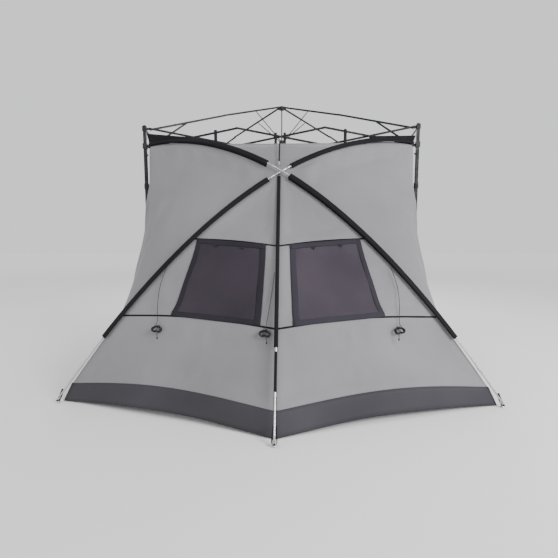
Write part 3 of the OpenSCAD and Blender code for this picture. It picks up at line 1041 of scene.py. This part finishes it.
def build_gusset(label, side, rise):
    """The dark corner piece between the eave, the leg and the start of an arch."""
    outer = Vector((-1.166, WALL_Y - 0.004, CEILING + rise))
    inner = arch(0.15) + Vector((0, 0.004, 0.030))

    def wedge(u, v):
        lower = arch(0.15 * u) + Vector((0, 0.002, -0.018))
        ruffle = 0.004 * math.sin(13 * u + 2 * v) * hump(v)
        return turned(outer.lerp(inner, u).lerp(lower, v) + Vector((0, ruffle, 0)), side)

    gusset = thicken(patch("corner_gusset_" + label, wedge, 24, 8, (0.6, 0.1), SLEEVE), 0.0012)
    settle(gusset, "skirt_cloth")


# Each sleeve on the nose pole: its name, where it starts and ends, and its width
NOSE_SLEEVES = (("sleeve_nose", 0.003, 0.722, 0.026), ("sleeve_nose_foot", 0.738, 0.862, 0.017))


def build_sleeves():
    """The sleeves of both arches, open near the crossing and above the feet, and the nose sleeve."""
    made = []
    build_gusset("left", 1, 0.116)
    build_gusset("right", -1, 0.084)
    for side, label, lift in ((1, "a", ARCH_LIFT), (-1, "b", -ARCH_LIFT)):
        upper = sleeve("sleeve_upper_" + label, 0.0, 0.390, side, lift, 0.060, 0.046)
        lower = sleeve("sleeve_lower_" + label, 0.456, 0.888, side, lift, 0.046, 0.040)
        made += [(upper, (0.075, 1.2)), (lower, (0.060, 1.82))]
    for name, start, end, width in NOSE_SLEEVES:
        points = [nose(start + (end - start) * k / 40) for k in range(41)]
        tube = sweep(name, points, oval(width, 0.0165, 14, 0.8), NOSE_OUT, SLEEVE)
        made.append((tube, (width * 1.3, (end - start) * (NOSE_TOP - NOSE_FOOT).length)))
    for piece, flat in made:
        settle(piece, "skirt_cloth")


def build_piping(lines):
    """Bound seams: a flat strip of trim along each sewn line except the rims, the leg seams and the
    skirt's seams.
    """
    bm = bmesh.new()
    narrow = oval(0.013, 0.006, 8, 0.7)
    for name, points in lines.items():
        if name.startswith(("rim", "upper_rim", "leg", "skirt")):
            continue
        away = Vector((0, 1, 0.3)) if points[0].y > REAR - 0.2 else Vector((0, -1, 0.35))
        if "side" in name or "corner" in name:
            away = Vector((math.copysign(1, points[0].x), 0.3, 0.3))
        add_sweep(bm, points, narrow, away)
    return settle(finished("seam_piping", bm, TRIM), "webbing")


# ---- windows -------------------------------------------------------------------------

# The window's outer and inner edge on the wall, at its head and at its foot
WINDOW_US = ((0.955, 0.152), (0.684, 0.100))


def window_point(s, t):
    """A place in the drawn window: s from the outer edge to the nose, t from head to foot."""
    (head_out, head_in), (foot_out, foot_in) = WINDOW_US
    head = wall(head_out, head_v(head_out)).lerp(wall(head_in, head_v(head_in)), s)
    foot = wall(foot_out, foot_v(foot_out)).lerp(wall(foot_in, foot_v(foot_in)), s)
    return head.lerp(foot, t)


class Surface:
    """Finds the settled front wall under a point of the drawn one."""

    def __init__(self, piece):
        points = [v.co for v in piece.data.vertices]
        self.tree = BVHTree.FromPolygons(points, [p.vertices for p in piece.data.polygons])

    def lifted(self, point, lift):
        normal = wall_normal(0.5, 0.57)
        hit = self.tree.ray_cast(point + normal * 0.15, -normal, 0.4)
        return (hit[0] or point) + normal * lift


def build_window(label, side, skin):
    """A net panel, its raised border, and the toggles that hold its rolled blind."""
    def net(s, t):
        puff = 0.004 * hump(s) * hump(t)
        crease = 0.0015 * math.sin(14 * t + 3 * s)
        return turned(skin.lifted(window_point(s, t), 0.004 + puff + crease), side)

    panel = thicken(patch("window_net_" + label, net, 28, 28, (0.55, 0.5), NETS_LIT_AND_SHADED[label]), 0.0008)
    settle(panel, "window_mesh", "window_" + label)
    build_border(label, side, skin)
    build_toggles(label, side, skin)


BORDER_WIDTHS = (0.034, 0.040, 0.034, 0.034)


def build_border(label, side, skin):
    """A flat binding along the window's four edges, in the order head, nose side, foot, outer side."""
    bm = bmesh.new()
    corners = [Vector(c) for c in ((0, 0), (1, 0), (1, 1), (0, 1))]
    normal = turned(wall_normal(0.5, 0.55), side)
    for i, width in enumerate(BORDER_WIDTHS):
        start, end = corners[i], corners[(i + 1) % 4]
        inward = (Vector((0.5, 0.5)) - (start + end) / 2) * (width / 0.52)
        places = [q + inward for q in straight(start, end, 24)]
        points = [turned(skin.lifted(window_point(q.x, q.y), 0.0075), side) for q in places]
        add_sweep(bm, points, oval(width, 0.003, 10, 0.5), normal)
    settle(finished("window_border_" + label, bm, BORDERS_LIT_AND_SHADED[label]), "webbing")


def build_toggles(label, side, skin):
    """Two toggles with their cord loops under the window's head."""
    bm = bmesh.new()
    normal = turned(wall_normal(0.5, 0.45), side)
    across = normal.cross(Vector((0, 0, 1))).normalized()
    for s in (0.30, 0.68):
        at = turned(skin.lifted(window_point(s, 0.075), 0.016), side)
        points = [at + across * 0.022 * (k / 10 - 0.5) for k in range(11)]
        add_sweep(bm, points, toggle_section, normal)
        loop = [at + Vector((0, 0, -0.022)) * k / 8 - normal * 0.005 for k in range(9)]
        add_sweep(bm, loop, oval(0.006, 0.002, 8), normal)
    settle(finished("window_toggles_" + label, bm, PLASTIC), "black_plastic")


def toggle_section(i):
    """A round bar that swells towards both ends."""
    return rod(0.008 + 0.003 * abs(i - 5) / 5, 10)


# ---- poles ---------------------------------------------------------------------------

ARCH_JOINTS = (0.16, 0.30, 0.41, 0.445, 0.58, 0.72, 0.885, 0.945)
NOSE_JOINTS = (0.730, 0.868)


def build_pole(name, node, curve, steps, joints, collar):
    """A tube along a curve, with a collar of this share of its length at each joint."""
    bm = bmesh.new()
    add_sweep(bm, traced(curve, steps), rod(2 * POLE_R, 14), ARCH_OUT)
    for joint in joints:
        span = [curve(joint + collar * (k / 8 - 0.5)) for k in range(9)]
        add_sweep(bm, span, ferrule_section, ARCH_OUT)
    settle(finished(name, bm, SILVER), "bare_pole", node)


def ferrule_section(i):
    """A collar of nine rings that tapers at both ends."""
    return rod(2 * POLE_R + (0.0035 if 0 < i < 8 else 0.0008), 14)


def build_poles():
    """The two arch poles in jointed sections, and the nose pole."""
    for side, label in ((1, "a"), (-1, "b")):
        build_pole("pole_arch_" + label, "arch_pole_" + label,
                   lambda t: turned(arch(t, side * ARCH_LIFT), side), 120, ARCH_JOINTS, 0.012)
    build_pole("pole_nose", "nose_pole", nose, 60, NOSE_JOINTS, 0.014)


# Height and radius of each ring of a pole's tip
TIP_PROFILE = (
    (0.000, 0.0115),
    (0.003, 0.0120),
    (0.006, 0.0105),
    (0.008, 0.0070),
    (0.014, 0.0062),
    (0.024, 0.0070),
    (0.030, 0.0066),
)


def build_feet():
    """Each pole foot: a turned tip on a small disc."""
    bm = bmesh.new()
    for at in (turned(ARCH_FOOT, -1), ARCH_FOOT, NOSE_FOOT):
        points = [Vector((at.x, at.y, z)) for z, _ in TIP_PROFILE]
        add_sweep(bm, points, lambda i: rod(2 * TIP_PROFILE[i][1], 20), (0, -1, 0))
    settle(finished("pole_tips", bm, SILVER), "bare_pole", "pole_feet")


# ---- straps and fittings -------------------------------------------------------------

def build_tip_loops():
    """Webbing loops that hold the skirt's corners to the tips of the poles."""
    bm = bmesh.new()
    left_foot, right_ground = turned(ARCH_FOOT, -1), turned(FOOT_GROUND, -1)
    for tip, corner in ((NOSE_FOOT, NOSE_GROUND), (left_foot, FOOT_GROUND), (ARCH_FOOT, right_ground)):
        ahead = Vector((tip.x - corner.x, tip.y - corner.y, 0)).normalized()
        across = Vector((ahead.y, -ahead.x, 0))
        sewn = Vector((corner.x, corner.y, 0.085)) + across * 0.008
        halfway = Vector(((corner.x + tip.x) / 2, (corner.y + tip.y) / 2, 0.045)) + across * 0.012
        beside = Vector((tip.x, tip.y, 0.018)) + across * 0.013
        front = Vector((tip.x, tip.y, 0.014)) + ahead * 0.012
        half = [sewn, halfway, beside]
        far = [p - across * 2 * (p - corner).dot(across) for p in reversed(half)]
        points = smoothed(half + [front] + far, 8)
        add_sweep(bm, points, tape(0.012, 0.0018), outward_from(points, sewn.lerp(front, 0.5)))
    settle(finished("tip_loops", bm, WEBBING), "webbing")


STRAP_X = (0.57, 0.04)


def build_straps():
    """Webbing loops that hang the ceiling's edges from the trusses, each with a buckle."""
    straps = bmesh.new()
    buckles = bmesh.new()
    for x in (side * aside for aside in STRAP_X for side in (-1, 1)):
        for y in (FRONT, REAR):
            loop = strap_loop(Vector((x, y, 0)), 2.043 if abs(x) < 0.3 else 2.070)
            add_sweep(straps, loop, tape(0.022, 0.0018), loop_normal(loop), closed=True)
            at = Vector((x, y + math.copysign(0.019, y - 0.5), 1.955))
            add_box(buckles, at, (0.030, 0.006, 0.020), 0.002)
    settle(finished("hanger_straps", straps, WEBBING), "webbing", "webbing_straps")
    settle(finished("strap_buckles", buckles, PLASTIC), "black_plastic")


def strap_loop(at, high):
    """A tall flat loop round the truss bars."""
    low, half = 1.940, 0.0155
    over = [math.pi * k / 8 for k in range(1, 8)]
    under = [math.pi * k / 6 for k in range(1, 6)]
    pairs = [(-half, low + (high - low) * k / 10) for k in range(11)]
    pairs += [(-half * math.cos(a), high + half * math.sin(a)) for a in over]
    pairs += [(half, high + (low - high) * k / 10) for k in range(11)]
    pairs += [(half * math.cos(a), low - 0.004 * math.sin(a)) for a in under]
    return [at + Vector((0, y, z)) for y, z in pairs]


def loop_normal(points):
    centre = sum(points, Vector()) / len(points)
    return lambda i: points[i] - centre + Vector((0, 0.0001, 0))


def build_hub_strap():
    """The strap from the lower hub to the poles' crossing, and the bright ferrule it ends in."""
    lift = Vector((0, -0.004, 0.009))
    points = [Vector((0, FRONT - 0.020, CEILING + 0.06))]
    points += [brow(0.5, 0.06 + 0.80 * k / 12) + lift for k in range(13)]
    strap = sweep("crossing_strap", points, tape(0.012, 0.0018), NOSE_OUT, WEBBING)
    settle(strap, "webbing")
    along = (points[-1] - points[-2]).normalized()
    tip = [points[-1] + along * (0.034 * k / 8 - 0.010) for k in range(9)]
    widths = (0.010, 0.014, 0.014, 0.014, 0.014, 0.012, 0.012, 0.010, 0.007)
    collar = sweep("crossing_ferrule", tip, lambda i: rod(widths[i], 14), NOSE_OUT, SILVER)
    settle(collar, "bare_pole")


CORNERS = ("fl", "fr", "bl", "br")
INNER_RIDGE_ASIDE = 0.009


def build_inner_stays():
    """The four thin stays from the lower hub, each pinned under the middle of its inner ridge."""
    hub_low, hub_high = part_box("hub")
    centre = (hub_low + hub_high) / 2
    for corner in CORNERS:
        low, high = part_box("inner_ridge_" + corner)
        out = middle("outer_ridge_" + corner) - centre
        out.z = 0
        out.normalize()
        aside = Vector((-out.y, out.x, 0)) * INNER_RIDGE_ASIDE
        axis = Vector((centre.x, centre.y, 0)) + aside
        reach = out.dot((low + high) / 2 - centre)
        drop = 0.014 + 0.44 * (high.z - low.z - 0.020)
        top = axis + out * 0.90 * reach + Vector((0, 0, high.z - drop))
        foot = axis + out * 0.016 + Vector((0, 0, hub_low.z + 0.014))
        stay = sweep("inner_stay_" + corner, straight(foot, top, 12), stay_section, (0, 0, 1), STEEL)
        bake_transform(stay)


def stay_section(i):
    """A round rod flattened at both ends for its pins."""
    return oval(0.0095, 0.004, 10) if i in (0, 12) else rod(0.009, 10)


LATCH_Z = 1.60
# Each ring of the collar: its share of the full width, and its height
LATCH_PROFILE = (
    (0.93, -0.024),
    (1.00, -0.021),
    (1.00, 0.021),
    (0.93, 0.024),
    (0.72, 0.024),
    (0.72, -0.024),
    (0.93, -0.024),
)


def build_latches():
    """A moulded collar with a push button on each leg."""
    for corner in CORNERS:
        at = middle("lower_leg_" + corner)
        at.z = LATCH_Z
        face = Vector((0, -1 if corner[0] == "f" else 1, 0))
        bm = bmesh.new()
        add_patch(bm, collar_around(at), evenly(20), evenly(6), (0.12, 0.09))
        bmesh.ops.remove_doubles(bm, verts=bm.verts, dist=0.0001)
        button = [at + face * d for d in (0.016, 0.020, 0.0235, 0.0245)]
        radii = (0.0075, 0.0075, 0.0070, 0.0040)
        add_sweep(bm, button, lambda i: rod(2 * radii[i], 16), (0, 0, 1))
        latch = finished("leg_latch_" + corner, bm, PLASTIC)
        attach(latch, "leg_" + corner)


def collar_around(at):
    """A hollow square collar with rounded corners, round the leg along u and over its wall along v."""
    ring = oval(0.036, 0.036, 20, 0.35)

    def surface(u, v):
        a, b = ring[round(u * 20) % 20]
        grow, rise = LATCH_PROFILE[round(v * 6)]
        return at + Vector((a * grow, b * grow, rise))

    return surface


TAB_HEIGHTS = (1.86, 1.47, 0.95)


def build_cover_tabs():
    """Webbing tabs that hold the cover's edge to each front leg."""
    bm = bmesh.new()
    for side in (1, -1):
        for z in TAB_HEIGHTS:
            start = turned(Vector((-SKIRT_X - 0.002, WALL_Y, z)), side)
            end = turned(Vector((-LEG_X + 0.004, FRONT - 0.017, z + 0.01)), side)
            add_sweep(bm, straight(start, end, 8), tape(0.020, 0.003), (0, -1, 0.2))
    settle(finished("cover_tabs", bm, WEBBING), "webbing")


ROLL_CORE = 0.012
ROLL_EDGE = 0.038
ROLL_TURNS = (DOOR_TOP - SKIRT_TOP) / (math.pi * (ROLL_CORE + ROLL_EDGE))


def build_door_roll():
    """The rear door, as tall as its doorway, rolled up under the ceiling and held by two ties."""
    y = BACK_Y + 0.042
    z = DOOR_TOP + 0.065

    def roll(u, v):
        ring = ROLL_CORE + (ROLL_EDGE - ROLL_CORE) * v
        angle = 2 * math.pi * (ROLL_TURNS * v - ROLL_TURNS + 3.5)
        x = (2 * u - 1) * (DOOR_HALF + 0.03)
        slack = 0.012 * hump(u * 3 % 1) if 0.2 < u < 0.8 else 0.006
        swell = ring * (1 + 0.08 * math.sin(17 * u) * hump(u))
        return Vector((x, y + swell * math.cos(angle), z + swell * math.sin(angle) - slack))

    door = patch("door_roll", roll, 40, 200, (0.9, DOOR_TOP - SKIRT_TOP), CLOTH)
    settle(door, "cover_cloth")
    build_door_ties(y, z - 0.006)


def build_door_ties(y, z):
    """Two tapes round the rolled door."""
    bm = bmesh.new()
    for x in (-0.22, 0.22):
        hub = Vector((x, y, z))
        angles = [2 * math.pi * k / 28 for k in range(28)]
        ring = [hub + Vector((0, 0.045 * math.cos(a), 0.047 * math.sin(a))) for a in angles]
        add_sweep(bm, ring, tape(0.018, 0.0016), loop_normal(ring), closed=True)
    settle(finished("door_ties", bm, WEBBING), "webbing")


# ---- studio --------------------------------------------------------------------------

FLOOR_SIZE = 60


def build_floor():
    def ground(u, v):
        return Vector((FLOOR_SIZE * (u - 0.5), FLOOR_SIZE * (v - 0.5), -0.001))

    patch("floor", ground, 4, 4, (FLOOR_SIZE, FLOOR_SIZE), studio_floor())


def area_light(name, at, target, size, power):
    data = bpy.data.lights.new(name, "AREA")
    data.shape = "DISK"
    data.size = size
    data.energy = power
    lamp = bpy.data.objects.new(name, data)
    lamp.location = at
    lamp.rotation_euler = (Vector(target) - Vector(at)).to_track_quat("-Z", "Y").to_euler()
    bpy.context.scene.collection.objects.link(lamp)


def build_lights():
    world = bpy.data.worlds.new("studio")
    world.use_nodes = True
    sky = world.node_tree.nodes["Background"]
    sky.inputs["Color"].default_value = (*SKY, 1)
    sky.inputs["Strength"].default_value = 1.0
    bpy.context.scene.world = world
    area_light("key", (4.6, -4.6, 3.6), (0, 0, 1), 3.0, 400)
    area_light("fill", (-4.5, -4.0, 2.6), (0, 0, 1), 3.5, 40)
    area_light("back", (0, 5.5, 4.5), (0, 0, 1.2), 4, 160)


CAMERA_LENS = 23.41
CAMERA_AT = (0.0716, FRONT - 3.3006, 1.1024)
CAMERA_DOWN = 0.1014
CAMERA_LEFT = 0.0248


def build_camera():
    """The photograph's camera: a wide lens near the ground, tipped down and turned left a little."""
    data = bpy.data.cameras.new("camera")
    data.lens = CAMERA_LENS
    data.sensor_width = 36
    camera = bpy.data.objects.new("camera", data)
    camera.location = CAMERA_AT
    camera.rotation_euler = (math.radians(90) - CAMERA_DOWN, 0, CAMERA_LEFT)
    bpy.context.scene.collection.objects.link(camera)
    bpy.context.scene.camera = camera


# ---- assembly ------------------------------------------------------------------------

build_camera()
build_floor()
build_lights()
finish_cad_nodes()
guy_line("left", SIDE_ROUTE, 1)
guy_line("centre", CENTRE_ROUTE, 1)
guy_line("right", SIDE_ROUTE, -1)

seams = seam_lines()
cover = build_cover(seams)
relax(cover, seams, FURTHEST_SETTLED)
skin = Surface(cover)
thicken(cover, 0.0012, 1)
settle(cover, "cover_cloth", "cover")
skirt = build_skirt()
settle(skirt, "skirt_cloth", "skirt")
build_groundsheet()
build_poles()
build_feet()
build_sleeves()
build_piping(seams)
build_window("left", 1, skin)
build_window("right", -1, skin)
build_tip_loops()
build_straps()
build_hub_strap()
build_inner_stays()
build_latches()
build_cover_tabs()
build_door_roll()
